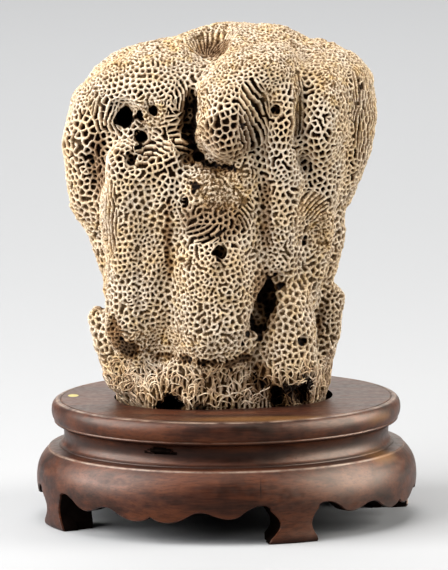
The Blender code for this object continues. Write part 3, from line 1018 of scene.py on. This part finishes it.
def grow_strands():
    """Rings of points along each strand: it creeps over the skin, bending as it goes."""
    ragged = STRAND_TALL + 5 * wander(skin, 12 * MM, 51)
    low = np.flatnonzero((height > 1) & (height < ragged))
    at = skin[rng.choice(low, STRANDS)]
    heading = unit(rng.standard_normal((STRANDS, 3)) * (0.45, 0.45, 0.2) + [0, 0, 1.3])
    bend = rng.normal(0, 0.2, STRANDS)
    lift = rng.uniform(0.1, 1.2, STRANDS)
    rows = []
    for k in range(STRAND_RINGS):
        found = [body.find_nearest(Vector(point)) for point in at]
        under = np.array([hit[0] for hit in found])
        up = np.array([hit[1] for hit in found])
        heading = flat_on(heading, up)
        side = np.cross(up, heading)
        arch = math.sin(math.pi * k / (STRAND_RINGS - 1))
        spot = under + up * ((lift * arch - STRAND_SINK) * MM)[:, None]
        spot[:, 2] = np.maximum(spot[:, 2], STAND_TOP + OVER_WOOD)
        rows.append((spot, up, side, 0.55 + 0.45 * arch))
        angle = bend + rng.normal(0, CURL, STRANDS)
        heading = heading * np.cos(angle)[:, None] + side * np.sin(angle)[:, None]
        at = under + heading * STRAND_STEP
    return rows


strand_rows = grow_strands()
thick = STRAND_THICK * rng.uniform(0.75, 1.25, STRANDS)
turns = np.arange(STRAND_SIDES) * 2 * math.pi / STRAND_SIDES
points = []
for spot, up, side, full in strand_rows:
    round_it = up[:, None] * np.cos(turns)[:, None] + side[:, None] * np.sin(turns)[:, None]
    points.append(spot[:, None] + (thick * full)[:, None, None] * round_it)
points = np.concatenate(points).reshape(-1, 3)
round_one = STRANDS * STRAND_SIDES
first = np.arange(STRAND_RINGS - 1)[:, None, None] * STRANDS + np.arange(STRANDS)[:, None]
sides = np.arange(STRAND_SIDES)
here, ahead = (first * STRAND_SIDES + k for k in (sides, (sides + 1) % STRAND_SIDES))
faces = np.stack([here, ahead, ahead + round_one, here + round_one], axis=-1).reshape(-1, 4)
nearest = nearest_in(tree_of(heart), strand_rows[STRAND_RINGS // 2][0])
spread = np.tile(np.repeat(np.arange(STRANDS), STRAND_SIDES), STRAND_RINGS)
# The strands take the painted shade of the cells nearest them.
values = {"ridge": 0.55 + 0.45 * rng.random(STRANDS)[spread], "wear": np.full(len(points), 0.1),
          "tint": rng.random(STRANDS)[spread],
          "open": np.minimum(open_to[nearest] * 1.5, 0.9)[spread]}
no_blades = {"blade": np.zeros(faces.shape)}
coral_piece("coral_tangle", mesh_of("coral_tangle", points, faces, values, no_blades)[0])

# ------------------------------------------------------------------ the stand
# A round stand of waxed dark hardwood, turned from one block: a rounded rim with a fine
# groove, a hollow neck and a swelling apron, carved into four feet between scalloped arches.
# It stands on the floor by its own weight, and a shallow socket in its top holds the coral.

TURN_STEPS = 288
CURVE_STEPS = 4
RIM = ([(0, 72.2)], [(98.5, 72.2)], [(99.2, 71.5)],
       [(99.8, 72.1), (100.4, 72.2), (101.3, 72.0), (102.8, 71.2), (104.0, 69.6), (104.6, 67.2),
        (104.6, 64.6), (104.0, 62.0), (102.9, 60.2)],
       [(103.1, 59.7), (103.0, 59.1), (102.3, 58.6)])
NECK = ([(101.2, 58.0), (98.9, 56.8), (97.5, 53.6), (97.3, 49.8), (98.3, 46.8), (100.2, 45.2)],
        [(100.4, 44.8), (103.0, 44.4), (105.8, 44.0), (106.5, 43.6)])
APRON = ([(106.9, 42.9), (109.2, 40.4), (111.6, 36.8), (113.2, 32.4), (113.9, 27.0),
          (113.7, 21.5), (112.9, 16.0), (112.3, 9.0), (112.4, 3.6), (111.9, 1.0), (110.9, 0.0)],
         [(91.0, 0.0)], [(90.0, 38.0)], [(0, 38.0)])


def curve_through(spots, steps):
    """A smooth line through the spots."""
    spots = np.array([spots[0]] + list(spots) + [spots[-1]], float)
    line = []
    for a, b, c, d in zip(spots, spots[1:], spots[2:], spots[3:]):
        for t in np.arange(steps) / steps:
            line.append(0.5 * (2 * b + (c - a) * t + (2 * a - 5 * b + 4 * c - d) * t * t
                               + (3 * b - 3 * c + d - a) * t ** 3))
    return line + [spots[-1]]


def add_point(built, radius, angle, level):
    """A point at a radius and an angle round the stand's axis, and at a height."""
    at = (radius * MM * math.cos(angle), radius * MM * math.sin(angle), level * MM)
    return built.verts.new(at)


def bridge(built, rings):
    """Faces from each ring of points to the next. A ring may be a single point."""
    for one, two in zip(rings, rings[1:]):
        for i in range(max(len(one), len(two))):
            corners = [one[i % len(one)], one[(i + 1) % len(one)],
                       two[(i + 1) % len(two)], two[i % len(two)]]
            built.faces.new(list(dict.fromkeys(corners)))


def turned(name, runs):
    """A turned mesh from runs of (radius, height) in millimetres; corners lie between runs."""
    outline = []
    for run in runs:
        smooth = len(run) > 1
        outline += curve_through(run, CURVE_STEPS) if smooth else [np.array(run[0], float)]
    built = bmesh.new()
    rings = []
    for radius, level in outline:
        angles = np.arange(TURN_STEPS if radius > 1e-6 else 1) * 2 * math.pi / TURN_STEPS
        rings.append([add_point(built, radius, a, level) for a in angles])
    bridge(built, rings)
    return finished(built, name)


# The carving: the foot edges curl back in a C, every carved edge is eased, and the wall
# behind the arches is hollowed to 9.5 mm. A chip is knocked out of the neck at the front.

FEET = 4
FIRST_FOOT = 21.0
GAP_HALF = 37.0
ARCH_BELOW = -4.0
SCALLOP = ((0.0, 16.2), (0.05, 14.0), (0.13, 12.9), (0.20, 13.4), (0.28, 15.4), (0.38, 19.2),
           (0.47, 19.5), (0.56, 17.2), (0.65, 15.7), (0.73, 16.8), (0.81, 20.6), (0.89, 23.2),
           (0.96, 23.4), (1.0, 22.0))
EASED = 0.7
CURL_FROM = 2.5
CURL_OVER = 18.0
LEFT_CURL = 2.2
RIGHT_CURL = 3.4
HOLLOW_TOP = 37.5
WALL = 9.5
SOCKET_FLOOR = 67.2
SOCKET_STEPS = 120
SOCKET_HALF = (64 + 1.3, 47.5 + 1.3)
SQUARENESS = 2.4
CHIPS = ((-38.5, -89.6, -18.0, 6.0, 1.5, 3.0), (-43.0, -87.4, -18.2, 2.4, 2.2, 2.6),
         (-34.0, -91.6, -18.2, 2.6, 1.2, 2.6))
CHIP_TURN = -0.4
scallop_line = np.array(curve_through(SCALLOP, 6))
apron_line = np.array(sorted((z, r) for r, z in curve_through(APRON[0], CURVE_STEPS)))


def apron_radius(level):
    """The radius of the apron's outer face at a height."""
    return np.interp(level, apron_line[:, 0], apron_line[:, 1])


def arch(spread, rise, layer):
    """The opening between two feet, wider at the outer face, where its edge is eased."""
    eased = 0.0 if layer < 2 else EASED
    top = np.interp(abs(spread), scallop_line[:, 0], scallop_line[:, 1]) + eased
    level = ARCH_BELOW + (top - ARCH_BELOW) * rise
    share = (level - CURL_FROM) / CURL_OVER
    curl = (RIGHT_CURL if spread > 0 else LEFT_CURL) * math.sin(math.pi * share)
    half = GAP_HALF + ((curl if 0 < share < 1 else 0.0) + eased * 0.45) * abs(spread) ** 6
    outer = apron_radius(level)
    return half * spread, level, (70.0, outer - 0.9, outer + 0.15, 130.0)[layer]


def wall_hollow(spread, rise, layer):
    """The hollow that leaves the apron's wall behind an arch."""
    level = ARCH_BELOW + (HOLLOW_TOP - ARCH_BELOW) * rise
    return (GAP_HALF + 1) * spread, level, (60.0, apron_radius(level) - WALL)[layer]


def between_feet(name, columns, rows, layers, shape):
    """A closed block on a grid between each foot and the next. The shape gives the angle
    from the middle, the height and the radius of each point of the grid."""
    built = bmesh.new()
    border = [(i, 0) for i in range(columns)] + [(columns, j) for j in range(rows)]
    border += [(i, rows) for i in range(columns, 0, -1)] + [(0, j) for j in range(rows, 0, -1)]
    for foot in range(FEET):
        middle = FIRST_FOOT + 360 / FEET * (foot + 0.5)
        grid = {}
        for k, i, j in np.ndindex(layers, columns + 1, rows + 1):
            off, level, radius = shape(2 * i / columns - 1, j / rows, k)
            grid[k, i, j] = add_point(built, radius, math.radians(middle + off), level)
        for i, j, k in np.ndindex(columns, rows, 2):
            corners = ((i, j), (i + 1, j), (i + 1, j + 1), (i, j + 1))
            built.faces.new([grid[k * (layers - 1), *corner] for corner in corners])
        for one, two in zip(border, border[1:] + border[:1]):
            for k in range(layers - 1):
                corners = ((k, *one), (k, *two), (k + 1, *two), (k + 1, *one))
                built.faces.new([grid[corner] for corner in corners])
    return finished(built, name)


def socket():
    """The socket, a little larger than the coral's foot all round."""
    built = bmesh.new()
    rings = []
    for level in (SOCKET_FLOOR, 80.0):
        ring = []
        for a in 2 * math.pi * np.arange(SOCKET_STEPS) / SOCKET_STEPS:
            wide, deep = (abs(way(a)) ** SQUARENESS / half ** SQUARENESS
                          for way, half in zip((math.cos, math.sin), SOCKET_HALF))
            reach = (wide + deep) ** (-1 / SQUARENESS)
            reach *= 1 + 0.012 * math.sin(3 * a + 1) + 0.01 * math.sin(5 * a)
            b = a + math.radians(8.0)
            at = ((reach * math.cos(b) - 1.5) * MM, reach * math.sin(b) * MM, level * MM)
            ring.append(built.verts.new(at))
        built.faces.new(ring)
        rings.append(ring)
    bridge(built, rings)
    return finished(built, "socket_cutter")


stand = turned("stand_body", RIM + NECK + APRON)
cutters = [between_feet("arch_cutter", 72, 14, 4, arch),
           between_feet("hollow_cutter", 40, 10, 2, wall_hollow),
           socket(), ovals("chip_cutter", CHIPS, CHIP_TURN)]
for cutter in cutters:
    modify(stand, "BOOLEAN", operation="DIFFERENCE", solver="EXACT", object=cutter)
modify(stand, "BEVEL", width=0.35 * MM, segments=2, limit_method="ANGLE",
       angle_limit=math.radians(55))
graph = bpy.context.evaluated_depsgraph_get()
carved = bpy.data.meshes.new_from_object(stand.evaluated_get(graph))
stand.modifiers.clear()
stand.data = carved
for cutter in cutters:
    bpy.data.objects.remove(cutter)
carved.shade_smooth()
carved.set_sharp_from_angle(angle=math.radians(40))

# The wood: waxed rosewood, reddish brown to nearly black, with long dark streaks. The edges
# are rubbed paler, partly a painted highlight, and painted shade lies in bands under the rim,
# over the neck and at the foot, with painted sheens on the right front and the top face. The
# cut insides are rough, unwaxed and almost black, the black partly painted shade.

MASK_TALL = 80
RUBBED_AND_HIGHLIT = (0.34, 0.25, 0.19)
BAND_SHADE = (0.010, 0.003, 0.002)
CRACK = (0.008, 0.003, 0.002)
INLAY = (0.44, 0.37, 0.10)
AMBER_SHEEN = (0.36, 0.16, 0.045)
TOP_SHEEN = (0.30, 0.14, 0.035)
RAW_AND_SHADE = (0.004, 0.0025, 0.002)

wood = new_material("rosewood")
tree = wood.node_tree
place = add_node(tree, "ShaderNodeTexCoord", {}, "Object")
long_grain = {"Vector": place, "Scale": (9, 60, 110), "Rotation": (0, 0.03, 0)}
streaks = noise(tree, add_node(tree, "ShaderNodeMapping", long_grain), 1, 6, 0.62)
tone = ramp(tree, streaks, [(0.34, (0.014, 0.004, 0.002)), (0.46, (0.040, 0.011, 0.005)),
                            (0.58, (0.074, 0.021, 0.008)), (0.70, (0.052, 0.014, 0.005))])
fine = add_node(tree, "ShaderNodeMapping", {"Vector": place, "Scale": (60, 500, 900)})
pored = mottled(tree, tone, 0.6, (0.40, 0.36, 0.34), 0.38, 0.52, fine, 1, 3, 0.6)
tone = mottled(tree, pored, 0.55, (0.30, 0.26, 0.26), 0.36, 0.47, place, 38, 4, 0.65)
upward = add_node(tree, "ShaderNodeSeparateXYZ", {0: place}, "Z")
level = work_out(tree, "MULTIPLY", upward, 1 / (MASK_TALL * MM))


def bands(rows):
    """Rings round the stand as a mask over height: (from, to, strength) in millimetres."""
    stops = [(0, 0)]
    for low, high, strength in rows:
        stops += [(low / MASK_TALL, 0), ((low + high) / 2 / MASK_TALL, strength),
                  (high / MASK_TALL, 0)]
    return ramp(tree, level, stops)


def top_face(strength):
    """The stand's top as a mask."""
    return ramp(tree, level, [(0.900, 0), (0.902, strength)])


def oval_mask(x, y, wide, deep, soft):
    """A mask that is 1 inside an upright oval column, fading out over a soft border."""
    size = (1 / (wide * MM), 1 / (deep * MM), 0)
    inputs = {"Vector": place, "Location": (-x / wide, -y / deep, 0), "Scale": size}
    off = add_node(tree, "ShaderNodeMapping", inputs)
    far = add_node(tree, "ShaderNodeVectorMath", {0: off, 1: off}, "Value",
                   operation="DOT_PRODUCT")
    return ramp(tree, work_out(tree, "MULTIPLY", far, 0.5), [(0.5 - soft, 1), (0.5, 0)])


def both(one, other):
    """Two masks multiplied."""
    return mix(tree, 1.0, one, other, "MULTIPLY")


outwards = {"Vector": place, "Scale": (8, 8, 0)}
from_axis = add_node(tree, "ShaderNodeVectorMath",
                     {0: add_node(tree, "ShaderNodeMapping", outwards)}, "Value",
                     operation="LENGTH")
# Paler edges on the rim, under it and at the shoulder: partly rubbed wear, partly painted
# highlight.
rubbed_and_highlit = both(bands([(42.6, 43.9, 0.75), (59.6, 60.8, 0.2), (71.5, 72.4, 0.8)]),
              ramp(tree, from_axis, [(0.786, 0), (0.797, 1)]))
rubbed_and_highlit = mottled(tree, rubbed_and_highlit, 1.0, (0.1, 0.1, 0.1), 0.36, 0.6, place, 90, 3, 0.55)
# Painted shade in bands: at the foot on the floor, above the shoulder, over the neck and under
# the rim.
band_shade = bands([(-1, 2.0, 0.8), (43.9, 46.4, 0.9), (46.5, 57.2, 0.82), (57.3, 59.7, 1.0)])
inlay = both(oval_mask(-91.7, 10.5, 3.4, 5.2, 0.12), top_face(1))
# Painted warm sheen: an amber patch on the right front of the bead and the apron's top.
amber_sheen = both(oval_mask(92, -50, 20, 16, 0.45), bands([(38, 48, 0.5), (62, 70, 0.3)]))
# Painted golden sheen on the front of the top face, near the coral's foot.
top_sheen = both(oval_mask(28, -88, 62, 13, 0.45), top_face(0.28))
crack = both(oval_mask(20, -112, 0.45, 8, 0.2), bands([(27, 41, 1.0)]))
for mask, colour in ((band_shade, BAND_SHADE), (rubbed_and_highlit, RUBBED_AND_HIGHLIT), (inlay, INLAY), (amber_sheen, AMBER_SHEEN),
                     (top_sheen, TOP_SHEEN), (crack, CRACK)):
    tone = mix(tree, mask, tone, colour)
shine = ramp(tree, noise(tree, place, 260, 3, 0.6), [(0.35, 0.36), (0.65, 0.47)])
bump = {"Strength": 0.14, "Distance": 0.2 * MM, "Height": pored.node.outputs["Noise"]}
dress(tree, {"Base Color": tone, "Roughness": shine, "Specular IOR Level": 0.13,
             "Specular Tint": (1, 0.91, 0.82), "Normal": add_node(tree, "ShaderNodeBump", bump)})

# The cut insides: rough, unwaxed wood, painted almost black as shade.
raw_shaded_wood = new_material("rosewood_raw_shaded")
tree = raw_shaded_wood.node_tree
place = add_node(tree, "ShaderNodeTexCoord", {}, "Object")
raw_and_shade = mottled(tree, RAW_AND_SHADE, 1.0, (0.7, 0.65, 0.6), 0.36, 0.52, place, 90, 3, 0.55)
dress(tree, {"Base Color": raw_and_shade, "Roughness": 1.0, "Specular IOR Level": 0.0})

middle, facing = read(carved.polygons, "center") / MM, read(carved.polygons, "normal")
radius = np.hypot(middle[:, 0], middle[:, 1])
outward = (middle[:, :2] * facing[:, :2]).sum(axis=1) / np.maximum(radius, 1e-6)
in_chip = (abs(middle[:, 0] + 39.5) < 9.5) & (middle[:, 1] < 0)
in_chip &= (radius > 80) & (radius < 97.42)
in_chip &= (middle[:, 2] > 51.8) & (middle[:, 2] < 56.8)
in_chip |= (((middle - [-39, -89, 54.2]) / [7.5, 9, 2.0]) ** 2).sum(axis=1) < 1
# Faces painted with the raw wood's near-black shade: the socket, the chip and the feet's insides.
cut = in_chip | ((radius < 70) & (middle[:, 2] < 72))
cut |= (middle[:, 2] < 39) & (outward < 0.45) & (radius < 111.5)
carved.polygons.foreach_set("use_smooth", ~in_chip)
carved.materials.append(wood)
carved.materials.append(raw_shaded_wood)
carved.polygons.foreach_set("material_index", cut.astype(np.int32))
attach(stand, "root")
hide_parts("stand")

# ------------------------------------------------------------------ floor, light, camera
# The floor is a plain pale sheet of paper. Soft square lights stand round the object, three
# of them for the shine of the wax alone, and the camera looks from a little above the stand.

floor_mesh = bpy.data.meshes.new("floor")
corners = [(-6, -6, 0), (6, -6, 0), (6, 6, 0), (-6, 6, 0)]
floor_mesh.from_pydata(corners, [], [(0, 1, 2, 3)])
floor = placed("floor", floor_mesh)
paper = new_material("floor_paper")
dress(paper.node_tree, {"Base Color": (0.40, 0.402, 0.406), "Roughness": 0.9,
                        "Specular IOR Level": 0.0})
floor_mesh.materials.append(paper)

world = bpy.data.worlds.new("studio")
bpy.context.scene.world = world
world.use_nodes = True
air = world.node_tree.nodes["Background"]
air.inputs["Color"].default_value = (0.95, 0.97, 1.0, 1)
air.inputs["Strength"].default_value = 0.10
bpy.context.scene.view_settings.view_transform = "Standard"


def add_light(name, spot, aim, size, power, colour=(1, 1, 1), on_colour=True, on_shine=True):
    """A square soft light that faces a spot. It may light only the colours or only the shine."""
    data = bpy.data.lights.new(name, "AREA")
    data.size = size
    data.energy = power
    data.color = colour
    light = placed(name, data)
    light.location = spot
    light.visible_camera = False
    light.visible_diffuse = on_colour
    light.visible_glossy = on_shine
    light.rotation_euler = (Vector(aim) - Vector(spot)).to_track_quat("-Z", "Y").to_euler()


LEFT, RIGHT, BACK = (-1.55, -0.2, 0.9), (1.5, -0.15, 0.75), (0, 3.6, 1.3)
AT_STAND, AT_BACKDROP = (0, 0, 0.12), (0, 1.2, 0)
add_light("overhead", (-0.4, -0.5, 2.4), (0, 0.3, 0), 2.0, 61, (1, 0.995, 0.985))
add_light("left", LEFT, AT_STAND, 1.0, 38)
add_light("right", RIGHT, AT_STAND, 1.0, 29, (1, 0.98, 0.94))
add_light("left_sheen", LEFT, AT_STAND, 1.4, 275, (1, 0.92, 0.88), on_colour=False)
add_light("right_sheen", RIGHT, AT_STAND, 1.4, 340, (1, 0.86, 0.74), on_colour=False)
add_light("back_sheen", BACK, AT_BACKDROP, 3.0, 39, (1, 0.93, 0.85), on_colour=False)
add_light("front_left", (-1.35, -1.4, 1.0), (0, 0, 0.15), 1.2, 33, on_shine=False)
add_light("back", BACK, AT_BACKDROP, 3.0, 25)
add_light("far", (0, 2.3, 2.0), (0, 2.31, 0), 2.0, 61)

PIXEL = 0.6 * MM
AWAY = 12000
FRAME_TALL = 570
SENSOR = 36
OFF_CENTRE = (1.9, -111.6)
ELEVATION = math.radians(8.8)
ROLL = math.radians(0.6)
aim = Vector((0, 0, STAND_TOP))
spot = aim + AWAY * PIXEL * Vector((0, -math.cos(ELEVATION), math.sin(ELEVATION)))
level = (aim - spot).to_track_quat("-Z", "Y").to_matrix() @ Matrix.Rotation(-ROLL, 3, "Z")
off_centre = Vector((*OFF_CENTRE, -AWAY)).normalized()
turn = off_centre.rotation_difference(Vector((0, 0, -1))).to_matrix()
camera = placed("camera", bpy.data.cameras.new("camera"))
camera.matrix_world = Matrix.Translation(spot) @ (level @ turn).to_4x4()
camera.data.sensor_width = SENSOR
camera.data.lens = SENSOR * AWAY / FRAME_TALL
camera.data.clip_end = 60
bpy.context.scene.camera = camera
